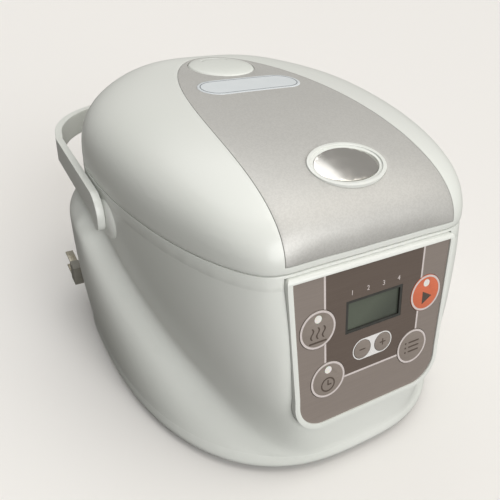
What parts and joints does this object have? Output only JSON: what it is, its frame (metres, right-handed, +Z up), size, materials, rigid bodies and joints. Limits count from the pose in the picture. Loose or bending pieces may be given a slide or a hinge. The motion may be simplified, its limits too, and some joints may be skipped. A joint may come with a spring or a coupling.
{
  "type": "rice cooker",
  "caption": "Countertop rice cooker with a domed hinged lid, removable pot, lift-out steam cap, swinging carrying handle, press latch and a leaning push-button control panel.",
  "frame": {"origin": "middle of the footprint of the whole cooker with its handle down, at the level of the feet", "axes": "+Z up, -Y towards the control panel at the front, +X to the right seen from the front"},
  "size_m": [0.2626, 0.3294, 0.1972],
  "materials": {
    "white_shell": "satin white moulded plastic",
    "silver_plate": "fine metallic silver paint, half gloss",
    "chrome_plastic": "chrome plated, clear lacquer",
    "panel_white": "gloss white surround",
    "panel_film": "warm grey printed film",
    "display_window": "clear window over a grey display",
    "display_block": "grey display behind the window",
    "button_taupe": "warm grey soft key",
    "button_orange": "orange soft key",
    "lamp_clear": "milky light guide",
    "rubber_grey": "matte",
    "steel": "plain steel",
    "coated_aluminium": "dark non-stick coating",
    "aluminium": "plain cast and stamped aluminium",
    "galvanised": "galvanised sheet",
    "seal_silicone": "translucent white silicone",
    "board_green": "circuit board",
    "component_black": "component case",
    "plug_grey": "soft grey-beige plug",
    "blade_brass": "nickelled brass",
    "handle_white": "satin white handle",
    "reel_plastic": "natural plastic",
    "cord_jacket": "grey cord jacket"
  },
  "bodies": {
    "base": {"outer_body": "white_shell", "base_cover": "white_shell", "rubber_feet": "rubber_grey", "base_screws": "steel", "top_frame": "reel_plastic", "inner_pot": "coated_aluminium", "well_case": "galvanised", "heater_plate": "aluminium", "pot_sensor": "aluminium", "thermal_fuse": "galvanised", "sensor_spring": "steel", "panel_bezel": "panel_white", "panel_film": "panel_film", "screen_lens": "display_window", "display_module": "display_block", "control_board": "board_green", "board_screws": "steel", "button_switches": "component_black", "hinge_pin": "steel", "hinge_spring": "steel", "handle_pins": "steel", "handle_brackets": "steel", "reel_axle": "steel", "reel_bracket": "galvanised", "plug_body": "plug_grey", "plug_blades": "blade_brass", "cord_outlet": "panel_white", "power_board": "board_green", "board_stands": "reel_plastic", "transformer": "component_black", "power_relay": "component_black"},
    "lid": {"lid_cover": "white_shell", "lid_plate": "silver_plate", "latch_ring": "panel_white", "latch_pin": "steel", "lid_base": "reel_plastic", "inner_lid": "aluminium", "lid_seal": "seal_silicone", "steam_socket": "reel_plastic", "steam_seal": "seal_silicone"},
    "steam_cap": {"steam_cap": "white_shell"},
    "latch_button": {"latch_button": "chrome_plastic"},
    "latch_hook": {"latch_hook": "steel"},
    "handle": {"carrying_handle": "handle_white"},
    "reel": {"cord_reel": "reel_plastic", "cord_coil": "cord_jacket"},
    "keep_warm_button": {"keep_warm_button": "button_taupe", "keep_warm_lamp": "lamp_clear"},
    "start_button": {"start_button": "button_orange", "start_lamp": "lamp_clear"},
    "timer_button": {"timer_button": "button_taupe", "timer_lamp": "lamp_clear"},
    "menu_button": {"menu_button": "button_taupe"},
    "minus_button": {"minus_button": "button_taupe"},
    "plus_button": {"plus_button": "button_taupe"}
  },
  "joints": [
    {"name": "lid_hinge", "type": "hinge", "parent": "base", "child": "lid", "pos_m": [0, 0.1135, 0.147], "axis": [-1, 0, 0], "range_deg": [0, 85]},
    {"name": "handle_hinge", "type": "hinge", "parent": "base", "child": "handle", "pos_m": [0, -0.014, 0.126], "axis": [-1, 0, 0], "range_deg": [-85, 0]},
    {"name": "steam_cap_lift", "type": "slide", "parent": "lid", "child": "steam_cap", "axis": [0, 0, 1], "range_m": [0, 0.03]},
    {"name": "latch_press", "type": "slide", "parent": "lid", "child": "latch_button", "axis": [0, 0.2827, -0.9592], "range_m": [0, 0.002], "stiffness_N_per_m": 600, "springref_m": -0.001},
    {"name": "latch_hook_turn", "type": "hinge", "parent": "lid", "child": "latch_hook", "pos_m": [0, -0.131, 0.157], "axis": [-1, 0, 0], "range_deg": [0, 5]},
    {"name": "keep_warm_press", "type": "slide", "parent": "base", "child": "keep_warm_button", "axis": [0, 0.981, -0.1942], "range_m": [0, 0.0008], "stiffness_N_per_m": 800, "springref_m": -0.0005},
    {"name": "start_press", "type": "slide", "parent": "base", "child": "start_button", "axis": [0, 0.981, -0.1942], "range_m": [0, 0.0008], "stiffness_N_per_m": 800, "springref_m": -0.0005},
    {"name": "timer_press", "type": "slide", "parent": "base", "child": "timer_button", "axis": [0, 0.981, -0.1942], "range_m": [0, 0.0008], "stiffness_N_per_m": 800, "springref_m": -0.0005},
    {"name": "menu_press", "type": "slide", "parent": "base", "child": "menu_button", "axis": [0, 0.981, -0.1942], "range_m": [0, 0.0008], "stiffness_N_per_m": 800, "springref_m": -0.0005},
    {"name": "minus_press", "type": "slide", "parent": "base", "child": "minus_button", "axis": [0, 0.981, -0.1942], "range_m": [0, 0.0008], "stiffness_N_per_m": 800, "springref_m": -0.0005},
    {"name": "plus_press", "type": "slide", "parent": "base", "child": "plus_button", "axis": [0, 0.981, -0.1942], "range_m": [0, 0.0008], "stiffness_N_per_m": 800, "springref_m": -0.0005},
    {"name": "reel_turn", "type": "hinge", "parent": "base", "child": "reel", "pos_m": [0, 0.086, 0.055], "axis": [0, 1, 0], "continuous": true}
  ],
  "couplings": [
    {"joint": "latch_hook_turn", "follows": "latch_press", "rad_per_m": 40}
  ]
}
